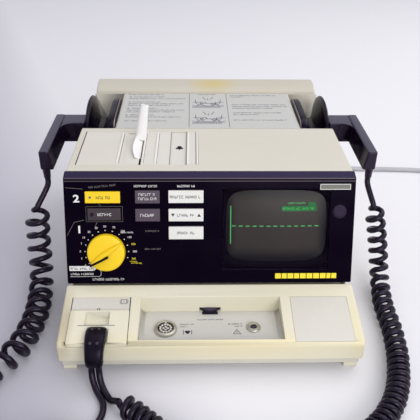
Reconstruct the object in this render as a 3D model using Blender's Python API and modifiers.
"""Portable defibrillator and monitor, standing on its four feet.

The origin is at the middle of the footprint, on the surface that the feet
stand on.  +X is the operator's right, +Y points to the back and +Z is up.
"""
import math

import bpy
import bmesh
from mathutils import Matrix, Vector

# ---- driving dimensions, in metres ----
GAP = 0.0003                      # clearance between pieces that touch
WALL = 0.003                      # moulded housing wall
MODULE_HALF = 0.1575              # half width of the monitor module
CONSOLE_HALF = 0.160              # half width of the front console
PANEL_HALF = 0.159                # half width of the black control panel
FRONT_Y = -0.2035                 # front of the console lip
BACK_Y = 0.2035                   # back of the carrying handle
TOP_Z = 0.1735                    # top of the monitor module
MODULE_BACK_Y = 0.037             # back edge of the module top
PANEL_FOOT = Vector((0.0, -0.1255, 0.058))   # bottom front edge of the panel
PANEL_TILT = math.radians(20.0)
PANEL_LENGTH = 0.1193
PANEL_DEPTH = 0.012
CONSOLE_SLOPE = math.radians(12.6)
SEAM_Z = 0.017                    # joint between the base pan and the housings
PAN_BOTTOM_Z = 0.0075
PAN_HALF = 0.158
FOOT_X = 0.1500
FOOT_Y = 0.1860
POCKET_X = 0.1165                 # inner wall of a paddle pocket
POCKET_FRONT_Y = 0.0402
POCKET_BACK_Y = 0.158
POCKET_FLOOR_Z = 0.075
DECK_Z = 0.1725                   # label deck between the pockets

# console, in front of the panel
CONSOLE_TOP_BACK_Y = -0.1262
CONSOLE_BACK_Y = -0.096
LEDGE_Z = 0.0455
RECESS_HALF = 0.0765
RECESS_FLOOR_Z = 0.0325
RECESS_BACK_Y = -0.1438
RECESS_FRONT_Y = -0.1975
BAY_LOW_X = -0.1503
BAY_HIGH_X = -0.0872
BAY_FLOOR_Z = 0.0375
BAY_BACK_Y = -0.1438
COVER_LOW_X = 0.0872
COVER_HIGH_X = 0.1503
COVER_START = 0.0192
COVER_END = 0.0772
COVER_DEPTH = 0.0024
BAY_WALL = 0.0025                 # floor and back wall of the bays
CUT_DEEP = 0.010                  # how far a cutter runs past what it cuts
ECG_PLACE = (-0.0488, -0.1725)
JACK_PLACE = (0.0462, -0.1705)
ECG_HOLE = 0.0096
JACK_HOLE = 0.0056
WHEEL_PLACE = (-0.0004, -0.1358, 0.0357)
WHEEL_RADIUS = 0.0125
WHEEL_THICK = 0.0042

# rear housing
HAND_HALF = 0.080
HAND_FRONT_Y = 0.150
HAND_LOW_Z = 0.112
SHOULDER_Z = 0.1500               # step that the handle sits on
LABEL_HALF = 0.1145
LABEL_FRONT_Y = 0.0395
LABEL_BACK_Y = 0.1590

# control panel
# name, x low, x high, up low, up high, finish, gap round it; all on the panel
BUTTONS = [
    ("charge_button", -0.1360, -0.0981, 0.0922, 0.1050, "yellow", 0.0004),
    ("standby_button", -0.1338, -0.0978, 0.0729, 0.0866, "grey", 0.0004),
    ("sync_button", -0.0820, -0.0552, 0.0918, 0.1061, "grey", 0.0004),
    ("report_button", -0.0820, -0.0552, 0.0718, 0.0858, "grey", 0.0004),
    ("lead_button", -0.0458, -0.0076, 0.0922, 0.1061, "white", 0.0004),
    ("gain_rocker", -0.0458, -0.0076, 0.0718, 0.0857, "white", 0.0007),
    ("alarm_button", -0.0458, -0.0076, 0.0515, 0.0658, "white", 0.0004),
]
BUTTON_PROUD = 0.0022
BUTTON_DEPTH = 0.0075
ROCKER_DEPTH = 0.0024
KNOB_PLACE = (-0.1145, 0.0374)
KNOB_RADIUS = 0.0208
POINTER_ANGLE = math.radians(214.0)
LENS_PLACE = (0.1425, 0.0820)
LENS_RADIUS = 0.0078
WINDOW = (0.0130, 0.1320, 0.0155, 0.1080)
TUBE_PLACE = (0.0725, 0.0640)
TUBE_HALVES = (0.0565, 0.0435)

# paddle connector, its boot and its bay
CONNECTOR_BACK_Y = -0.1630
THUMB_X = -0.1205
THUMB_HALF = 0.0130
BOOT_X = -0.1185
BOOT_HALF = 0.0110
TONGUE = (-0.1400, -0.0980, 0.0405, 0.0460)    # x low, x high, z low, z high
BOOT_BACK_Y = -0.1860
BOOT_FRONT_Y = -0.2260
BOOT_END_Z = 0.0285
THUMB_FRONT_Y = -0.1825

# strip-chart recorder, sunk in the module top
DOOR_LOW_X = -0.1490
DOOR_HIGH_X = -0.0800
DOOR_LOW_Y = -0.0600
DOOR_HIGH_Y = 0.0270
HEAD_LOW_X = -0.0775
HEAD_HIGH_X = -0.0130
ROLL_PLACE = (-0.1220, 0.1485)
ROLL_RADIUS = 0.0180
ROLLER_PLACE = (-0.0870, 0.1615)
ROLLER_RADIUS = 0.0060
TRAY_LOW_X = -0.1450              # the hollow of the tray
TRAY_HIGH_X = -0.0175
TRAY_LOW_Y = -0.0560
TRAY_HIGH_Y = 0.0230
TRAY_FLOOR_Z = 0.1260
TRAY_TOP_Z = 0.1700
TRAY_WALL = 0.0025
DOOR_DIP_X = -0.0975
STRIP_X = -0.0796
STRIP_THICK = 0.0010
PAPER_LOW_Y = -0.0430
PAPER_HIGH_Y = 0.0110

# hand paddles, on the +X side; the other is its mirror image
GRIP_BOTTOM_Z = 0.1490
GRIP_TOP_Z = 0.1730
GRIP_SLOPE = 0.18                 # how fast the inner side of the grip moves out as it rises
GRIP_INNER_X = 0.1822
GRIP_OUTER_X = 0.1980
STEM_FRONT_Y = 0.0600
STEM_BACK_Y = 0.0885
STEM_BOTTOM_Z = 0.1440
STEM_FILLET = 0.0130
FLANGE = (0.0440, 0.1570, 0.0780, 0.1885)      # y low, y high, z low, z high
FLANGE_CORNER = 0.0440
PLATE_FRONT_Y = 0.0470
PLATE_BACK_Y = 0.1500
PLATE_LOW_Z = 0.0820
PLATE_TOP_Z = 0.1765
WAIST_TOP_Z = 0.1520
THUMB_BUTTON = (0.1735, 0.1590)   # x and z of the button on the back of the stem
RELIEF_X = 0.1925
RELIEF_Y = -0.0215
RELIEF_END_Z = 0.1370
BUTTON_RADIUS = 0.0060

# mains inlet, lead and plug
MAINS = 0.007                     # diameter of the lead
MAINS_Z = MAINS / 2 + GAP
INLET_X = 0.060
INLET_Z = 0.050
INLET_HALF_X = 0.0150
INLET_HALF_Z = 0.0120
NOSE_HALF_X = 0.0115              # the nose of the connector in the inlet
NOSE_HALF_Z = 0.0080
COIL_PLACE = (0.4650, 0.2600)     # the stored turns of the lead
COIL_MEAN = 0.0420
COIL_HALF = 0.0106
COIL_TOP_Z = 0.0180
PLUG_LOW = (0.4350, 0.1500, 0.0003)

# paddle cords
WIRE = 0.0068                     # diameter of the cord
LEFT_OUTER = 0.030                # outer diameter of the left curled stretch
RIGHT_OUTER = 0.025               # and of the right one, which is stretched less
LEFT_Z = LEFT_OUTER / 2 + GAP     # height of a curl that lies on the table
RIGHT_Z = RIGHT_OUTER / 2 + GAP
WIRE_Z = WIRE / 2 + 2 * GAP
LEFT_UPPER = [(-0.1925, -0.0215, 0.1367), (-0.1925, -0.0217, 0.1310), (-0.1935, -0.0265, 0.1255)]
LEFT_CURL = [(-0.2050, -0.0400, 0.1060), (-0.2072, -0.0440, 0.0760), (-0.2066, -0.0530, 0.0450),
             (-0.2045, -0.0690, 0.0240), (-0.2020, -0.0930, LEFT_Z), (-0.1996, -0.1184, LEFT_Z),
             (-0.2001, -0.1424, LEFT_Z), (-0.2049, -0.1737, LEFT_Z), (-0.2143, -0.1955, LEFT_Z),
             (-0.2290, -0.2170, LEFT_Z), (-0.2400, -0.2450, LEFT_Z), (-0.2390, -0.2750, LEFT_Z),
             (-0.2200, -0.2960, LEFT_Z), (-0.1900, -0.3050, LEFT_Z), (-0.1640, -0.3045, LEFT_Z),
             (-0.1420, -0.2980, LEFT_Z), (-0.1250, -0.2880, LEFT_Z)]
LEFT_LOWER = [(-0.1130, -0.2740, WIRE_Z), (-0.1095, -0.2600, WIRE_Z), (-0.1110, -0.2470, WIRE_Z),
              (-0.1165, -0.2350, 0.0055), (-0.1205, -0.2265, 0.0115), (-0.1229, -0.2183, 0.0205),
              (-0.1230, -0.2180, 0.0281)]
RIGHT_UPPER = [(0.1925, -0.0215, 0.1367), (0.1925, -0.0217, 0.1310), (0.1935, -0.0265, 0.1250)]
RIGHT_CURL = [(0.1990, -0.0405, 0.1085), (0.2060, -0.0450, 0.0780), (0.2110, -0.0510, 0.0500),
              (0.2130, -0.0620, 0.0270), (0.2115, -0.0820, 0.0150), (0.2085, -0.1030, RIGHT_Z),
              (0.2068, -0.1212, RIGHT_Z), (0.2056, -0.1549, RIGHT_Z), (0.2018, -0.1874, RIGHT_Z),
              (0.1967, -0.2104, RIGHT_Z), (0.1899, -0.2333, RIGHT_Z), (0.1802, -0.2536, RIGHT_Z),
              (0.1640, -0.2760, RIGHT_Z), (0.1400, -0.2950, RIGHT_Z), (0.1080, -0.3050, RIGHT_Z),
              (0.0700, -0.3080, RIGHT_Z), (0.0300, -0.3090, RIGHT_Z), (-0.0080, -0.3060, RIGHT_Z),
              (-0.0330, -0.2990, RIGHT_Z), (-0.0500, -0.2880, RIGHT_Z), (-0.0640, -0.2755, RIGHT_Z),
              (-0.0790, -0.2625, RIGHT_Z), (-0.0920, -0.2520, RIGHT_Z)]
RIGHT_LOWER = [(-0.1015, -0.2430, WIRE_Z), (-0.1060, -0.2370, WIRE_Z), (-0.1105, -0.2300, 0.0060),
               (-0.1140, -0.2235, 0.0125), (-0.1153, -0.2183, 0.0205), (-0.1153, -0.2180, 0.0281)]
CURL_STEP = 0.018                 # spacing of the points along a curled stretch

# directions
UP_PANEL = Vector((0.0, math.sin(PANEL_TILT), math.cos(PANEL_TILT)))
OUT_PANEL = Vector((0.0, -math.cos(PANEL_TILT), math.sin(PANEL_TILT)))
DOWN_CONSOLE = Vector((0.0, -math.cos(CONSOLE_SLOPE), -math.sin(CONSOLE_SLOPE)))
OUT_CONSOLE = Vector((0.0, -math.sin(CONSOLE_SLOPE), math.cos(CONSOLE_SLOPE)))


def clear_scene():
    """Remove whatever the scene holds."""
    for old in list(bpy.data.objects):
        bpy.data.objects.remove(old, do_unlink=True)


clear_scene()
PARTS = bpy.data.collections.new("defibrillator")
GUIDES = bpy.data.collections.new("cutters")
bpy.context.scene.collection.children.link(PARTS)
bpy.context.scene.collection.children.link(GUIDES)


def finish_material(name, color, roughness, metallic=0.0):
    """A plain Principled material."""
    made = bpy.data.materials.new(name)
    made.use_nodes = True
    shader = made.node_tree.nodes["Principled BSDF"]
    shader.inputs["Base Color"].default_value = (*color, 1.0)
    shader.inputs["Roughness"].default_value = roughness
    shader.inputs["Metallic"].default_value = metallic
    return made


IVORY = finish_material("ivory_plastic", (0.72, 0.69, 0.55), 0.45)
PALE = finish_material("pale_grey_plastic", (0.66, 0.64, 0.58), 0.5)
BLACK = finish_material("black_plastic", (0.02, 0.018, 0.026), 0.25)
GLOSS = finish_material("gloss_panel", (0.008, 0.005, 0.012), 0.1)
YELLOW = finish_material("yellow_plastic", (0.85, 0.62, 0.02), 0.4)
GREY = finish_material("dark_grey_plastic", (0.09, 0.07, 0.09), 0.4)
WHITE = finish_material("white_plastic", (0.8, 0.8, 0.76), 0.4)
RUBBER = finish_material("rubber", (0.03, 0.03, 0.03), 0.8)
STEEL = finish_material("steel", (0.6, 0.6, 0.6), 0.3, 1.0)
GLASS = finish_material("tinted_glass", (0.05, 0.05, 0.045), 0.08)
PAPER = finish_material("paper", (0.85, 0.85, 0.83), 0.8)
BOARD = finish_material("circuit_board", (0.05, 0.2, 0.09), 0.5)
CORD_GREY = finish_material("grey_cord", (0.5, 0.5, 0.52), 0.6)


# ---- tools for building pieces ----
def add_object(name, mesh, finish=None):
    """Put a mesh in the parts, or in the cutters when it has no finish."""
    made = bpy.data.objects.new(name, mesh)
    if finish is None:
        GUIDES.objects.link(made)
        made.hide_render = True
        made.display_type = "WIRE"
    else:
        PARTS.objects.link(made)
        mesh.materials.append(finish)
    return made


def smooth(mesh):
    """Shade a mesh smooth, with its real edges kept sharp."""
    mesh.shade_smooth()
    mesh.set_sharp_from_angle(angle=math.radians(35.0))


def add_bevel(made, width, segments=2):
    """Round the edges of an object."""
    bevel = made.modifiers.new("rounded_edges", "BEVEL")
    bevel.width = width
    bevel.segments = segments
    bevel.limit_method = "ANGLE"
    bevel.angle_limit = math.radians(30.0)


def box(name, low, high, finish=None, bevel=0.0, segments=2, origin=None):
    """A block between two corners, with its origin at its middle or as given."""
    low = Vector(low)
    high = Vector(high)
    middle = (low + high) / 2
    place = Vector(origin) if origin is not None else middle
    shape = bmesh.new()
    bmesh.ops.create_cube(shape, size=1.0)
    bmesh.ops.scale(shape, vec=high - low, verts=shape.verts)
    bmesh.ops.translate(shape, vec=middle - place, verts=shape.verts)
    mesh = bpy.data.meshes.new(name)
    shape.to_mesh(mesh)
    shape.free()
    made = add_object(name, mesh, finish)
    made.location = place
    if bevel:
        add_bevel(made, bevel, segments)
    return made


def cylinder(name, start, end, radius, finish=None, end_radius=None, sides=32, origin=None):
    """A round bar or cone from one point to another."""
    start = Vector(start)
    end = Vector(end)
    axis = end - start
    place = Vector(origin) if origin is not None else (start + end) / 2
    shape = bmesh.new()
    bmesh.ops.create_cone(
        shape, cap_ends=True, segments=sides, radius1=radius,
        radius2=radius if end_radius is None else end_radius, depth=axis.length)
    turn = Vector((0, 0, 1)).rotation_difference(axis.normalized()).to_matrix().to_4x4()
    shape.transform(Matrix.Translation((start + end) / 2 - place) @ turn)
    mesh = bpy.data.meshes.new(name)
    shape.to_mesh(mesh)
    shape.free()
    smooth(mesh)
    made = add_object(name, mesh, finish)
    made.location = place
    return made


def mesh_from_curve(curve_object, name, finish):
    """Turn a curve object into a welded mesh object."""
    bpy.context.view_layer.update()
    graph = bpy.context.evaluated_depsgraph_get()
    mesh = bpy.data.meshes.new_from_object(curve_object.evaluated_get(graph))
    mesh.name = name
    mesh.materials.clear()
    shape = bmesh.new()
    shape.from_mesh(mesh)
    bmesh.ops.remove_doubles(shape, verts=shape.verts, dist=0.000001)
    bmesh.ops.recalc_face_normals(shape, faces=shape.faces)
    shape.to_mesh(mesh)
    shape.free()
    place = curve_object.matrix_world.copy()
    bpy.data.objects.remove(curve_object, do_unlink=True)
    made = add_object(name, mesh, finish)
    made.matrix_world = place
    return made


def prism(name, outline, x_low, x_high, finish=None, bevel=0.0, segments=2):
    """A flat outline in the YZ plane, extruded along X."""
    curve = bpy.data.curves.new(name, "CURVE")
    curve.dimensions = "2D"
    curve.fill_mode = "BOTH"
    curve.extrude = (x_high - x_low) / 2
    spline = curve.splines.new("POLY")
    spline.points.add(len(outline) - 1)
    for point, (y, z) in zip(spline.points, outline):
        point.co = (y, z, 0.0, 1.0)
    spline.use_cyclic_u = True
    drawn = bpy.data.objects.new(name, curve)
    GUIDES.objects.link(drawn)
    drawn.rotation_euler = (math.pi / 2, 0.0, math.pi / 2)
    drawn.location = ((x_low + x_high) / 2, 0.0, 0.0)
    made = mesh_from_curve(drawn, name, finish)
    if bevel:
        add_bevel(made, bevel, segments)
    return made


def turned(name, profile, place, finish, sides=32, direction=(0, 0, 1)):
    """A solid turned from (radius, height) points, listed up its outer side."""
    mesh = bpy.data.meshes.new(name)
    points = [(radius, 0.0, height) for radius, height in reversed(profile)]
    count = len(points)
    closed = all(radius > 0 for radius, _ in profile)
    edges = [(i, (i + 1) % count) for i in range(count if closed else count - 1)]
    mesh.from_pydata(points, edges, [])
    made = add_object(name, mesh, finish)
    made.location = place
    turn = Vector((0, 0, 1)).rotation_difference(Vector(direction))
    made.rotation_euler = turn.to_euler()
    screw = made.modifiers.new("turned", "SCREW")
    screw.axis = "Z"
    screw.steps = sides
    screw.render_steps = sides
    screw.use_merge_vertices = True
    screw.merge_threshold = 0.00001
    screw.use_smooth_shade = True
    return made


def cut(made, *cutters):
    """Take each cutter's shape out of an object."""
    for tool in cutters:
        boolean = made.modifiers.new("cut", "BOOLEAN")
        boolean.operation = "DIFFERENCE"
        boolean.object = tool


def join(made, *others):
    """Add each guide's shape to an object as one body."""
    for other in others:
        boolean = made.modifiers.new("join", "BOOLEAN")
        boolean.operation = "UNION"
        boolean.object = other


def smooth_route(points, spacing):
    """Evenly spaced points on a smooth curve through the route's points."""
    points = [Vector(point) for point in points]
    padded = [2 * points[0] - points[1], *points, 2 * points[-1] - points[-2]]
    fine = []
    for first, start, end, last in zip(padded, padded[1:], padded[2:], padded[3:]):
        for step in range(24):
            t = step / 24
            fine.append(0.5 * (2 * start + (end - first) * t
                               + (2 * first - 5 * start + 4 * end - last) * t ** 2
                               + (3 * start - first - 3 * end + last) * t ** 3))
    fine.append(points[-1])
    run = [0.0]
    for before, after in zip(fine, fine[1:]):
        run.append(run[-1] + (after - before).length)
    count = max(3, round(run[-1] / spacing))
    route = []
    index = 0
    for number in range(count + 1):
        wanted = run[-1] * number / count
        while index < len(run) - 2 and run[index + 1] < wanted:
            index += 1
        share = (wanted - run[index]) / max(run[index + 1] - run[index], 1e-9)
        route.append(fine[index].lerp(fine[index + 1], min(share, 1.0)))
    return route


def tube(name, points, diameter, spacing, finish):
    """A round tube that follows a route."""
    route = smooth_route(points, spacing)
    curve = bpy.data.curves.new(name, "CURVE")
    curve.dimensions = "3D"
    curve.bevel_depth = diameter / 2
    curve.bevel_resolution = 2
    curve.use_fill_caps = True
    spline = curve.splines.new("POLY")
    spline.points.add(len(route) - 1)
    for point, place in zip(spline.points, route):
        point.co = (*place, 1.0)
    made = bpy.data.objects.new(name, curve)
    PARTS.objects.link(made)
    curve.materials.append(finish)
    return made


def on_panel(x, up, out=0.0):
    """A point given by its place on the control panel and its height off it."""
    return PANEL_FOOT + Vector((x, 0.0, 0.0)) + up * UP_PANEL + out * OUT_PANEL


def on_console(along, out=0.0):
    """(y, z) of a point on the console top, measured down its slope."""
    point = PANEL_FOOT + along * DOWN_CONSOLE + out * OUT_CONSOLE
    return point.y, point.z


def panel_box(name, x_low, x_high, up_low, up_high, out_low, out_high,
              finish=None, bevel=0.0, pivot_out=0.0):
    """A block squared to the control panel, with its origin on the panel."""
    x_mid = (x_low + x_high) / 2
    up_mid = (up_low + up_high) / 2
    made = box(name,
               (x_low - x_mid, -out_high + pivot_out, up_low - up_mid),
               (x_high - x_mid, -out_low + pivot_out, up_high - up_mid),
               finish, bevel, origin=(0.0, 0.0, 0.0))
    made.location = on_panel(x_mid, up_mid, pivot_out)
    made.rotation_euler = (-PANEL_TILT, 0.0, 0.0)
    return made


# ---- housing ----
def base_pan():
    """The tray under everything."""
    half = PAN_HALF
    front = FRONT_Y + 0.0045
    back = BACK_Y - 0.0025
    pan = box("base_pan", (-half, front, PAN_BOTTOM_Z), (half, back, SEAM_Z - GAP),
              IVORY, 0.0015)
    cut(pan, box("pan_inside", (-half + WALL, front + WALL, PAN_BOTTOM_Z + WALL),
                 (half - WALL, back - WALL, SEAM_Z + CUT_DEEP)))


def console_housing():
    """The sloping console in front of the panel, with its bays."""
    top_back = on_console((PANEL_FOOT.y - CONSOLE_TOP_BACK_Y) / math.cos(CONSOLE_SLOPE))
    top_front = on_console(0.0768)
    outline = [top_back, (CONSOLE_TOP_BACK_Y, LEDGE_Z), (CONSOLE_BACK_Y, LEDGE_Z),
               (CONSOLE_BACK_Y, SEAM_Z), (FRONT_Y, SEAM_Z), (FRONT_Y, 0.0375), top_front]
    console = prism("console_housing", outline, -CONSOLE_HALF, CONSOLE_HALF, IVORY, 0.0028, 3)
    under_sides = [
        box("under_bay", (-CONSOLE_HALF + WALL, FRONT_Y + WALL, SEAM_Z - CUT_DEEP),
            (BAY_HIGH_X + 0.002, BAY_BACK_Y + 0.012, BAY_FLOOR_Z - BAY_WALL)),
        box("under_cover", (COVER_LOW_X - 0.002, FRONT_Y + WALL, SEAM_Z - CUT_DEEP),
            (CONSOLE_HALF - WALL, BAY_BACK_Y + 0.012, BAY_FLOOR_Z - BAY_WALL))]
    behind = box("behind_bays", (-CONSOLE_HALF + WALL, BAY_BACK_Y + BAY_WALL, SEAM_Z - CUT_DEEP),
                 (CONSOLE_HALF - WALL, CONSOLE_BACK_Y + CUT_DEEP, LEDGE_Z - BAY_WALL))
    recess = box("recess", (-RECESS_HALF, RECESS_FRONT_Y, SEAM_Z - CUT_DEEP),
                 (RECESS_HALF, RECESS_BACK_Y, 0.08))
    bay = box("bay", (BAY_LOW_X, FRONT_Y - CUT_DEEP, BAY_FLOOR_Z), (BAY_HIGH_X, BAY_BACK_Y, 0.08))
    seat_outline = [on_console(COVER_START), on_console(COVER_END),
                    on_console(COVER_END, CUT_DEEP), on_console(COVER_START, CUT_DEEP)]
    cover_seat = prism("cover_seat", seat_outline, COVER_LOW_X, COVER_HIGH_X)
    cover_seat.location = cover_seat.location - COVER_DEPTH * OUT_CONSOLE
    half_slot = 0.0118
    slot_z = WHEEL_THICK / 2 + 0.0006
    wheel_slot = box("wheel_slot",
                     (WHEEL_PLACE[0] - half_slot, RECESS_BACK_Y - 0.002, WHEEL_PLACE[2] - slot_z),
                     (WHEEL_PLACE[0] + half_slot, RECESS_BACK_Y + 0.006, WHEEL_PLACE[2] + slot_z))
    cut(console, *under_sides, behind, recess, bay, cover_seat, wheel_slot)
    floor = box("recess_floor", (-RECESS_HALF + GAP, RECESS_FRONT_Y + GAP, RECESS_FLOOR_Z - 0.0025),
                (RECESS_HALF - GAP, RECESS_BACK_Y - GAP, RECESS_FLOOR_Z), PALE)
    ecg_hole = cylinder("ecg_hole", (*ECG_PLACE, 0.02), (*ECG_PLACE, 0.05), ECG_HOLE)
    jack_hole = cylinder("jack_hole", (*JACK_PLACE, 0.02), (*JACK_PLACE, 0.05), JACK_HOLE)
    cut(floor, ecg_hole, jack_hole)

    plate = prism("blank_cover", [on_console(COVER_START + GAP), on_console(COVER_END - GAP),
                                  on_console(COVER_END - GAP, COVER_DEPTH - GAP),
                                  on_console(COVER_START + GAP, COVER_DEPTH - GAP)],
                  COVER_LOW_X + GAP, COVER_HIGH_X - GAP, PALE, 0.0004, 1)
    plate.location = plate.location - (COVER_DEPTH - GAP) * OUT_CONSOLE


def module_cover():
    """The cover over the monitor module, open in front and below."""
    slant = math.tan(PANEL_TILT)
    foot_y = PANEL_FOOT.y + PANEL_DEPTH / math.cos(PANEL_TILT) - PANEL_FOOT.z * slant
    lip_z = 0.167
    low_z = LEDGE_Z + GAP

    def behind_panel(z):
        return foot_y + z * slant + GAP

    outline = [(behind_panel(lip_z), TOP_Z), (behind_panel(lip_z), lip_z),
               (behind_panel(low_z), low_z), (CONSOLE_BACK_Y + GAP, low_z),
               (CONSOLE_BACK_Y + GAP, SEAM_Z), (MODULE_BACK_Y, SEAM_Z), (MODULE_BACK_Y, TOP_Z)]
    cover = prism("module_cover", outline, -MODULE_HALF, MODULE_HALF, IVORY, 0.0015, 2)
    roof_z = TOP_Z - WALL
    inside = prism("module_inside",
                   [(-0.15, roof_z), (-0.15, SEAM_Z - CUT_DEEP),
                    (MODULE_BACK_Y - WALL, SEAM_Z - CUT_DEEP), (MODULE_BACK_Y - WALL, roof_z)],
                   -MODULE_HALF + WALL, MODULE_HALF - WALL)
    well = box("recorder_opening", (DOOR_LOW_X - GAP, DOOR_LOW_Y - GAP, 0.165),
               (HEAD_HIGH_X + GAP, DOOR_HIGH_Y + GAP, 0.18))
    cut(cover, inside, well)


def rear_housing():
    """The rear housing: label deck, paddle pockets and the hand space."""
    front = MODULE_BACK_Y + GAP
    back = BACK_Y - 0.0005
    deck_back = POCKET_BACK_Y + 0.0022
    outline = [(front, SEAM_Z), (back, SEAM_Z), (back, SHOULDER_Z), (deck_back, SHOULDER_Z),
               (deck_back, DECK_Z), (front, DECK_Z)]
    housing = prism("rear_housing", outline, -MODULE_HALF, MODULE_HALF, IVORY, 0.001, 2)
    pockets = [box("pocket", (min(side * POCKET_X, side * 0.17), POCKET_FRONT_Y, POCKET_FLOOR_Z),
                   (max(side * POCKET_X, side * 0.17), POCKET_BACK_Y, 0.2)) for side in (-1, 1)]
    hand = box("hand_space_cut", (-HAND_HALF, HAND_FRONT_Y, HAND_LOW_Z),
               (HAND_HALF, BACK_Y + CUT_DEEP, SHOULDER_Z + CUT_DEEP))
    low = SEAM_Z - CUT_DEEP
    centre = box("deck_inside", (-POCKET_X + WALL, front + WALL, low),
                 (POCKET_X - WALL, HAND_FRONT_Y - WALL, DECK_Z - WALL))
    sides = box("low_inside", (-MODULE_HALF + WALL, front + WALL, low),
                (MODULE_HALF - WALL, POCKET_BACK_Y, POCKET_FLOOR_Z - WALL))
    rear = box("back_inside", (-MODULE_HALF + WALL, POCKET_BACK_Y - 0.001, low),
               (MODULE_HALF - WALL, back - WALL, POCKET_FLOOR_Z - WALL))
    behind = box("back_upper_inside", (-MODULE_HALF + WALL, POCKET_BACK_Y + WALL, low),
                 (MODULE_HALF - WALL, back - WALL, HAND_LOW_Z - WALL))
    corners = [box("corner_inside", (min(side * 0.0830, side * 0.1545), POCKET_BACK_Y + WALL, low),
                   (max(side * 0.0830, side * 0.1545), back - WALL, SHOULDER_Z - WALL))
               for side in (-1, 1)]
    seat = box("label_seat", (-LABEL_HALF, LABEL_FRONT_Y, DECK_Z - 0.0008),
               (LABEL_HALF, LABEL_BACK_Y, DECK_Z + CUT_DEEP))
    inlet = box("inlet_hole", (INLET_X - INLET_HALF_X - GAP, back - WALL - 0.002,
                               INLET_Z - INLET_HALF_Z - GAP),
                (INLET_X + INLET_HALF_X + GAP, back + CUT_DEEP, INLET_Z + INLET_HALF_Z + GAP))
    cut(housing, *pockets, hand, centre, sides, rear, behind, *corners, seat, inlet)
    box("label_plate", (-LABEL_HALF + GAP, LABEL_FRONT_Y + GAP, DECK_Z - 0.0008 + GAP),
        (LABEL_HALF - GAP, LABEL_BACK_Y - GAP, DECK_Z + 0.0004), PALE)


def carry_handle():
    """The bar across the back, above the hand space."""
    bottom = SHOULDER_Z + GAP
    front = POCKET_BACK_Y + 0.0022 + GAP
    outline = [(front, bottom), (BACK_Y, bottom), (BACK_Y, 0.1793), (0.176, 0.1800),
               (front, 0.1752)]
    handle = prism("carry_handle", outline, -0.1563, 0.1563, IVORY, 0.0035, 3)
    cut(handle, box("grip_hollow", (-HAND_HALF, 0.172, bottom - CUT_DEEP),
                    (HAND_HALF, 0.194, 0.166)))


def front_panel():
    """The glossy control panel, hollow behind, with its openings."""
    top_back = on_panel(0, PANEL_LENGTH, -PANEL_DEPTH)
    outline = [(PANEL_FOOT.y, PANEL_FOOT.z),
               (on_panel(0, PANEL_LENGTH).y, on_panel(0, PANEL_LENGTH).z),
               (top_back.y + 0.0002, TOP_Z - 0.0002), (top_back.y, top_back.z),
               (on_panel(0, 0, -PANEL_DEPTH).y, on_panel(0, 0, -PANEL_DEPTH).z)]
    panel = prism("front_panel", outline, -PANEL_HALF, PANEL_HALF, GLOSS, 0.0012, 2)
    face = 0.0028
    rim = 0.003
    hollow = panel_box("panel_hollow", -PANEL_HALF + rim, PANEL_HALF - rim, rim,
                       PANEL_LENGTH - rim, -PANEL_DEPTH - CUT_DEEP, -face)
    window = panel_box("window_opening", WINDOW[0], WINDOW[1], WINDOW[2], WINDOW[3],
                       -0.02, 0.02)
    openings = [panel_box("button_opening", x_low - gap, x_high + gap, up_low - gap, up_high + gap,
                          -0.02, 0.02)
                for _, x_low, x_high, up_low, up_high, _, gap in BUTTONS]
    shaft = cylinder("shaft_opening", on_panel(*KNOB_PLACE, -0.02), on_panel(*KNOB_PLACE, 0.02),
                     0.0036, sides=24)
    lens = cylinder("lens_opening", on_panel(*LENS_PLACE, -0.02), on_panel(*LENS_PLACE, 0.02),
                    LENS_RADIUS + GAP)
    cut(panel, hollow, window, *openings, shaft, lens)


def panel_controls():
    """Everything that shows through the panel."""
    finishes = {"yellow": YELLOW, "grey": GREY, "white": WHITE}
    for name, x_low, x_high, up_low, up_high, finish, _ in BUTTONS:
        depth = ROCKER_DEPTH if name == "gain_rocker" else BUTTON_DEPTH
        panel_box(name, x_low, x_high, up_low, up_high, -depth, BUTTON_PROUD,
                  finishes[finish], 0.0006)
    panel_box("screen_window", WINDOW[0] + GAP, WINDOW[1] - GAP, WINDOW[2] + GAP,
              WINDOW[3] - GAP, -0.0024, -0.0004, GLASS)
    cylinder("status_lens", on_panel(*LENS_PLACE, -0.006), on_panel(*LENS_PLACE, 0.0003),
             LENS_RADIUS, BLACK)

    seat = on_panel(*KNOB_PLACE, 0.0006)
    knob = cylinder("energy_knob", seat, on_panel(*KNOB_PLACE, 0.0085), KNOB_RADIUS, YELLOW,
                    KNOB_RADIUS - 0.001, sides=40, origin=on_panel(*KNOB_PLACE))
    bar = box("knob_bar", (-KNOB_RADIUS + 0.0012, -0.0042, -0.004),
              (KNOB_RADIUS - 0.0012, 0.0042, 0.0046), origin=(0.0, 0.0, 0.0))
    bar.matrix_world = (Matrix.Translation(on_panel(*KNOB_PLACE, 0.0112))
                        @ Matrix.Rotation(math.pi / 2 - PANEL_TILT, 4, "X")
                        @ Matrix.Rotation(POINTER_ANGLE, 4, "Z"))
    stem = cylinder("knob_stem", on_panel(*KNOB_PLACE, -0.020), on_panel(*KNOB_PLACE, 0.003),
                    0.003, sides=24)
    join(knob, bar, stem)
    switch = cylinder("energy_switch", on_panel(*KNOB_PLACE, -0.0290),
                      on_panel(*KNOB_PLACE, -0.0110), 0.0150, GREY)
    cut(switch, cylinder("switch_bore", on_panel(*KNOB_PLACE, -0.0225),
                         on_panel(*KNOB_PLACE, 0.0), 0.0034, sides=24))


def display_tube():
    """The picture tube: faceplate, cone and neck."""
    half_x, half_up = TUBE_HALVES
    x, up = TUBE_PLACE
    face = panel_box("display_tube", x - half_x, x + half_x, up - half_up, up + half_up,
                     -0.026, -0.0045, GLASS, 0.006)
    cone = cylinder("tube_cone", on_panel(x, up, -0.024), on_panel(x, up, -0.075), 0.0425,
                    end_radius=0.014)
    neck = cylinder("tube_neck", on_panel(x, up, -0.070), on_panel(x, up, -0.118), 0.0125,
                    sides=24)
    join(face, cone, neck)


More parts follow.
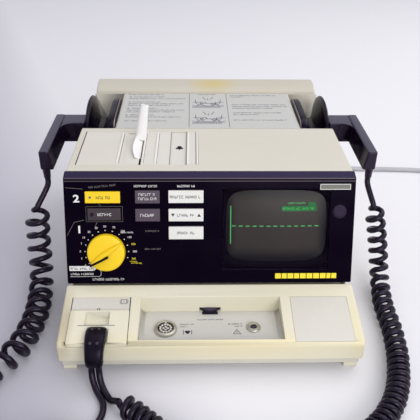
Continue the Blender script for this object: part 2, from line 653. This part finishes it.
def console_fittings():
    """Sockets, thumbwheel, paddle connector and its receptacle."""
    floor = RECESS_FLOOR_Z + GAP
    turned("ecg_socket", [(0.0, -0.0090), (0.0093, -0.0090), (0.0093, 0.0), (0.0123, 0.0),
                          (0.0123, 0.0020), (0.0112, 0.0032), (0.0088, 0.0032),
                          (0.0080, -0.0060), (0.0, -0.0060)],
           (*ECG_PLACE, floor), PALE)
    turned("output_jack", [(0.0, -0.0090), (0.0053, -0.0090), (0.0053, 0.0), (0.0078, 0.0),
                           (0.0074, 0.0018), (0.0032, 0.0018), (0.0032, -0.0070),
                           (0.0, -0.0070)],
           (*JACK_PLACE, floor), BLACK, sides=24)
    wheel_low = (WHEEL_PLACE[0], WHEEL_PLACE[1], WHEEL_PLACE[2] - WHEEL_THICK / 2)
    wheel_high = (WHEEL_PLACE[0], WHEEL_PLACE[1], WHEEL_PLACE[2] + WHEEL_THICK / 2)
    cylinder("volume_wheel", wheel_low, wheel_high, WHEEL_RADIUS, BLACK, sides=36)

    low = (PANEL_FOOT.y - CONNECTOR_BACK_Y) / math.cos(CONSOLE_SLOPE)
    start = (PANEL_FOOT.y - BAY_BACK_Y) / math.cos(CONSOLE_SLOPE)
    floor_z = BAY_FLOOR_Z + GAP
    back_y = CONNECTOR_BACK_Y
    cover = prism("receptacle_cover",
                  [(BAY_BACK_Y - GAP, floor_z), (BAY_BACK_Y - GAP, on_console(start)[1] - 0.0004),
                   (back_y + GAP, on_console(low)[1] - 0.0004), (back_y + GAP, floor_z)],
                  BAY_LOW_X + GAP, BAY_HIGH_X - GAP, PALE)
    tongue_low_x, tongue_high_x, tongue_low_z, tongue_high_z = TONGUE
    cut(cover, box("tongue_slot",
                   (tongue_low_x - 0.0004, back_y - CUT_DEEP, tongue_low_z - 0.0004),
                   (tongue_high_x + 0.0004, back_y + 0.0115, tongue_high_z + 0.0004)))

    front_y = FRONT_Y
    proud = 0.0030
    top_back = on_console(low)[1] + proud
    top_front = on_console(0.0797)[1] + proud
    block = prism("paddle_connector",
                  [(back_y, floor_z), (back_y, top_back), (front_y, top_front),
                   (front_y, floor_z)],
                  BAY_LOW_X + GAP, BAY_HIGH_X - GAP, IVORY, 0.0008, 2)
    join(block, box("tongue", (tongue_low_x, back_y - 0.004, tongue_low_z),
                    (tongue_high_x, back_y + 0.0110, tongue_high_z)))
    thumb = box("thumb_recess", (THUMB_X - THUMB_HALF, THUMB_FRONT_Y, 0.0432),
                (THUMB_X + THUMB_HALF, back_y - 0.0022, 0.07))
    notch = box("boot_notch", (BOOT_X - BOOT_HALF - GAP, FRONT_Y - CUT_DEEP, 0.0405),
                (BOOT_X + BOOT_HALF + GAP, BOOT_BACK_Y + GAP, 0.07))
    cut(block, thumb, notch)
    prism("cord_boot",
          [(BOOT_BACK_Y, 0.0408), (BOOT_BACK_Y, 0.0505), (BOOT_BACK_Y - 0.018, 0.0540),
           (BOOT_BACK_Y - 0.031, 0.0500), (BOOT_FRONT_Y - 0.0005, 0.0400),
           (BOOT_FRONT_Y + 0.0015, BOOT_END_Z), (BOOT_FRONT_Y + 0.0165, BOOT_END_Z),
           (BOOT_FRONT_Y + 0.0185, 0.0408)],
          BOOT_X - BOOT_HALF, BOOT_X + BOOT_HALF, RUBBER, 0.0022, 2)


# ---- strip-chart recorder ----
def recorder():
    """Paper tray, roll, platen roller, head cover, door and the paper strip."""
    tray = box("recorder_tray",
               (TRAY_LOW_X - TRAY_WALL, TRAY_LOW_Y - TRAY_WALL, TRAY_FLOOR_Z - TRAY_WALL),
               (TRAY_HIGH_X + TRAY_WALL, TRAY_HIGH_Y + TRAY_WALL, TRAY_TOP_Z), PALE)
    cut(tray, box("tray_inside", (TRAY_LOW_X, TRAY_LOW_Y, TRAY_FLOOR_Z),
                  (TRAY_HIGH_X, TRAY_HIGH_Y, TRAY_TOP_Z + CUT_DEEP)))
    roll_x, roll_z = ROLL_PLACE
    bosses = [cylinder("roll_boss", (roll_x, start, roll_z), (roll_x, end, roll_z), 0.0055,
                       sides=24)
              for start, end in ((TRAY_LOW_Y - 0.001, PAPER_LOW_Y + 0.008),
                                 (PAPER_HIGH_Y - 0.008, TRAY_HIGH_Y + 0.001))]
    join(tray, *bosses)
    paper = cylinder("paper_roll", (roll_x, PAPER_LOW_Y, roll_z), (roll_x, PAPER_HIGH_Y, roll_z),
                     ROLL_RADIUS, PAPER)
    cut(paper, cylinder("roll_core", (roll_x, PAPER_LOW_Y - CUT_DEEP, roll_z),
                        (roll_x, PAPER_HIGH_Y + CUT_DEEP, roll_z), 0.0060, sides=24))
    roller_x, roller_z = ROLLER_PLACE
    roller = cylinder("platen_roller", (roller_x, PAPER_LOW_Y - 0.006, roller_z),
                      (roller_x, PAPER_HIGH_Y + 0.006, roller_z), ROLLER_RADIUS, RUBBER, sides=24)
    join(roller, cylinder("roller_shaft", (roller_x, TRAY_LOW_Y + 0.0003, roller_z),
                          (roller_x, TRAY_HIGH_Y - 0.0003, roller_z), 0.0020, sides=16))
    head = box("print_head_cover", (HEAD_LOW_X, DOOR_LOW_Y, TOP_Z - 0.0030),
               (HEAD_HIGH_X, DOOR_HIGH_Y, TOP_Z), PALE)
    cut(head, box("head_step", (-0.0450, DOOR_LOW_Y - CUT_DEEP, TOP_Z - 0.0012),
                  (-0.0262, DOOR_HIGH_Y + CUT_DEEP, TOP_Z + CUT_DEEP)))
    door = box("recorder_door", (DOOR_LOW_X, DOOR_LOW_Y, TOP_Z - 0.0026),
               (DOOR_HIGH_X, DOOR_HIGH_Y, TOP_Z), IVORY, 0.0004,
               origin=(DOOR_LOW_X, 0.0, TOP_Z))
    cut(door, box("door_dip", (DOOR_DIP_X, DOOR_LOW_Y + 0.004, TOP_Z - 0.0010),
                  (DOOR_HIGH_X + CUT_DEEP, DOOR_HIGH_Y - 0.004, TOP_Z + CUT_DEEP)))
    strip_low = TOP_Z + 2 * GAP
    strip = box("paper_strip", (STRIP_X, PAPER_LOW_Y, TOP_Z - 0.0040),
                (STRIP_X + STRIP_THICK, PAPER_HIGH_Y, strip_low + 0.0040), PAPER)
    leaf = box("strip_leaf", (STRIP_X - 0.0070, -0.0300, strip_low),
               (STRIP_X + STRIP_THICK, PAPER_HIGH_Y, strip_low + 0.0060))
    curl = cylinder("strip_curl", (-0.0830, 0.0060, strip_low + 0.0030),
                    (-0.0762, 0.0170, 0.2130), 0.0058, end_radius=0.0034, sides=16)
    join(strip, leaf, curl)


# ---- paddles ----
def lean(made, side, reach=1.0):
    """Shear a shape outwards as it rises, as far across as given."""
    for corner in made.data.vertices:
        height = made.location.z + corner.co.z - GRIP_BOTTOM_Z
        if side * corner.co.x < reach:
            corner.co.x += side * GRIP_SLOPE * height


def paddle(name, side):
    """One hand paddle: body with flange, grip, electrode and button."""
    def block(label, x_low, x_high, y_low, y_high, z_low, z_high, finish=None, bevel=0.0):
        near = min(side * x_low, side * x_high)
        far = max(side * x_low, side * x_high)
        return box(label, (near, y_low, z_low), (far, y_high, z_high), finish, bevel)

    block(f"{name}_electrode", 0.1185, 0.1212, PLATE_FRONT_Y, PLATE_BACK_Y, PLATE_LOW_Z,
          PLATE_TOP_Z, STEEL, 0.0008)
    body = block(f"{name}_body", 0.1215, 0.1265, PLATE_FRONT_Y + 0.0005, PLATE_BACK_Y - 0.0005,
                 PLATE_LOW_Z + 0.0005, PLATE_TOP_Z + 0.0005, BLACK, 0.0018)
    waist = block("waist", 0.1255, 0.1510, 0.0560, 0.1410, 0.0900, WAIST_TOP_Z, bevel=0.004)
    y_low, y_high, z_low, z_high = FLANGE
    outline = [(y_low, z_low), (y_high, z_low)]
    for centre_y, start in ((y_high - FLANGE_CORNER, 0.0), (y_low + FLANGE_CORNER, 90.0)):
        for step in range(7):
            angle = math.radians(start + 15.0 * step)
            outline.append((centre_y + FLANGE_CORNER * math.cos(angle),
                            z_high - FLANGE_CORNER * (1.0 - math.sin(angle))))
    flange = prism("flange", outline, min(side * 0.1500, side * 0.1572),
                   max(side * 0.1500, side * 0.1572), bevel=0.0012)
    join(body, waist, flange)

    grip = block(f"{name}_grip", GRIP_INNER_X, GRIP_OUTER_X, -0.0275, 0.0850, GRIP_BOTTOM_Z,
                 GRIP_TOP_Z, BLACK, 0.0022)
    lean(grip, side, 0.0)
    stem = block("stem", 0.1575, 0.1900, STEM_FRONT_Y, STEM_BACK_Y, STEM_BOTTOM_Z,
                 GRIP_TOP_Z - 0.002, bevel=0.002)
    fillet_x = GRIP_INNER_X - STEM_FILLET
    fillet_y = STEM_FRONT_Y - STEM_FILLET
    fillet = block("fillet", fillet_x + GAP, GRIP_INNER_X + 0.006, fillet_y + GAP,
                   STEM_FRONT_Y + 0.004, GRIP_BOTTOM_Z + 0.002, GRIP_TOP_Z - 0.0025)
    lean(fillet, side)
    fillet_round = cylinder("fillet_round", (side * fillet_x, fillet_y, GRIP_BOTTOM_Z - CUT_DEEP),
                            (side * fillet_x, fillet_y, GRIP_TOP_Z + CUT_DEEP),
                            STEM_FILLET - GAP, sides=48)
    lean(fillet_round, side)
    cut(fillet, fillet_round)
    relief = cylinder("relief", (side * RELIEF_X, RELIEF_Y, GRIP_BOTTOM_Z + 0.004),
                      (side * RELIEF_X, RELIEF_Y, RELIEF_END_Z), 0.0050, end_radius=0.0040,
                      sides=20)
    join(grip, stem, fillet, relief)
    button_x, button_z = THUMB_BUTTON
    socket = cylinder("button_socket", (side * button_x, STEM_BACK_Y - 0.0070, button_z),
                      (side * button_x, STEM_BACK_Y + CUT_DEEP, button_z),
                      BUTTON_RADIUS + GAP, sides=24)
    cut(grip, socket)
    cylinder(f"{name}_button", (side * button_x, STEM_BACK_Y - 0.0035, button_z),
             (side * button_x, STEM_BACK_Y + 0.0035, button_z), BUTTON_RADIUS, YELLOW, sides=24)


# ---- inside ----
def inner_works():
    """Boards, battery, capacitor and power supply."""
    floor = PAN_BOTTOM_Z + WALL + GAP
    box("main_board", (-0.1350, 0.0290, floor), (0.1350, 0.0306, 0.1150), BOARD)
    box("power_supply", (-0.1450, -0.0600, floor), (-0.0550, 0.0250, 0.0700), STEEL, 0.001)
    box("battery_pack", (0.0100, 0.0450, floor), (0.1050, 0.1400, 0.0700), GREY, 0.002)
    cylinder("storage_capacitor", (-0.0550, 0.0450, 0.0520), (-0.0550, 0.1420, 0.0520), 0.0340,
             STEEL)


def feet():
    """Four moulded feet."""
    for back, y in (("front", -FOOT_Y), ("rear", FOOT_Y)):
        for hand, x in (("left", -FOOT_X), ("right", FOOT_X)):
            box(f"foot_{back}_{hand}", (x - 0.0075, y - 0.0110, 0.0),
                (x + 0.0075, y + 0.0110, PAN_BOTTOM_Z - GAP), IVORY, 0.001, 1)


# ---- mains supply ----
def mains_supply():
    """Inlet, connector, lead, its stored coil and the plug."""
    back = BACK_Y - 0.0005
    inlet = box("mains_inlet", (INLET_X - INLET_HALF_X, back - 0.0250, INLET_Z - INLET_HALF_Z),
                (INLET_X + INLET_HALF_X, back, INLET_Z + INLET_HALF_Z), BLACK)
    room = 2 * GAP
    cut(inlet, box("inlet_cavity",
                   (INLET_X - NOSE_HALF_X - room, back - 0.0180, INLET_Z - NOSE_HALF_Z - room),
                   (INLET_X + NOSE_HALF_X + room, back + CUT_DEEP, INLET_Z + NOSE_HALF_Z + room)))
    plug_end = back + 0.0330
    connector = box("mains_connector", (INLET_X - 0.0135, back + 0.0010, INLET_Z - 0.0100),
                    (INLET_X + 0.0135, plug_end - 0.0080, INLET_Z + 0.0100), CORD_GREY, 0.002)
    nose = box("connector_nose", (INLET_X - NOSE_HALF_X, back - 0.0170, INLET_Z - NOSE_HALF_Z),
               (INLET_X + NOSE_HALF_X, back + 0.0040, INLET_Z + NOSE_HALF_Z))
    relief = cylinder("connector_relief", (INLET_X, plug_end - 0.0120, INLET_Z),
                      (INLET_X, plug_end + 0.0140, INLET_Z), 0.0065, end_radius=0.0046, sides=20)
    join(connector, nose, relief)
    ring_x, ring_y = COIL_PLACE
    start_y = plug_end + 0.0140 + 2 * GAP
    tube("mains_lead", [(INLET_X, start_y, INLET_Z), (INLET_X, start_y + 0.012, 0.0497),
                        (0.0640, start_y + 0.030, 0.0410), (0.0760, start_y + 0.044, 0.0220),
                        (0.0960, 0.2900, 0.0080), (0.1250, 0.2800, MAINS_Z),
                        (0.1800, 0.2620, MAINS_Z), (0.2550, 0.2500, MAINS_Z),
                        (0.3190, 0.2490, MAINS_Z), (0.3730, 0.2540, MAINS_Z),
                        (ring_x - COIL_MEAN - COIL_HALF - GAP, ring_y, MAINS_Z)],
         MAINS, 0.0150, CORD_GREY)
    turned("mains_coil", [(COIL_MEAN - COIL_HALF, GAP), (COIL_MEAN + COIL_HALF, GAP),
                          (COIL_MEAN + COIL_HALF, COIL_TOP_Z), (COIL_MEAN - COIL_HALF, COIL_TOP_Z)],
           (ring_x, ring_y, 0.0), CORD_GREY, sides=40)
    low = Vector(PLUG_LOW)
    plug = box("mains_plug", low, low + Vector((0.0300, 0.0380, 0.0260)), CORD_GREY, 0.004)
    pins = [cylinder("plug_pin", low + Vector((offset, 0.004, 0.0130)),
                     low + Vector((offset, -0.0190, 0.0130)), 0.0024, sides=16)
            for offset in (0.0055, 0.0245)]
    join(plug, *pins)


# ---- paddle cords ----
def lead_out(curl, drop):
    """Two points where a straight lead leaves the end face of a curl."""
    route = smooth_route(curl, CURL_STEP)
    out = (route[-1] - route[-2]).normalized()
    face = route[-1] + Vector((0.0, 0.0, -drop))
    return [face + 2 * GAP * out, face + 0.006 * out]


def paddle_cords():
    """The two curled cords between the boot and the paddles."""
    rows = (("cord_left", LEFT_OUTER, LEFT_UPPER, LEFT_CURL, LEFT_LOWER, 0.0085),
            ("cord_right", RIGHT_OUTER, RIGHT_UPPER, RIGHT_CURL, RIGHT_LOWER, 0.0060))
    for name, outer, upper, curl, lower, drop in rows:
        tube(f"{name}_upper", upper + lead_out(curl[::-1], 0.0)[::-1], WIRE, 0.006, RUBBER)
        tube(f"{name}_curl", curl, outer, CURL_STEP, RUBBER)
        tube(f"{name}_lower", lead_out(curl, drop) + lower, WIRE, 0.008, RUBBER)


base_pan()
console_housing()
module_cover()
rear_housing()
carry_handle()
front_panel()
panel_controls()
display_tube()
console_fittings()
recorder()
paddle("paddle_left", -1)
paddle("paddle_right", 1)
inner_works()
feet()
mains_supply()
paddle_cords()
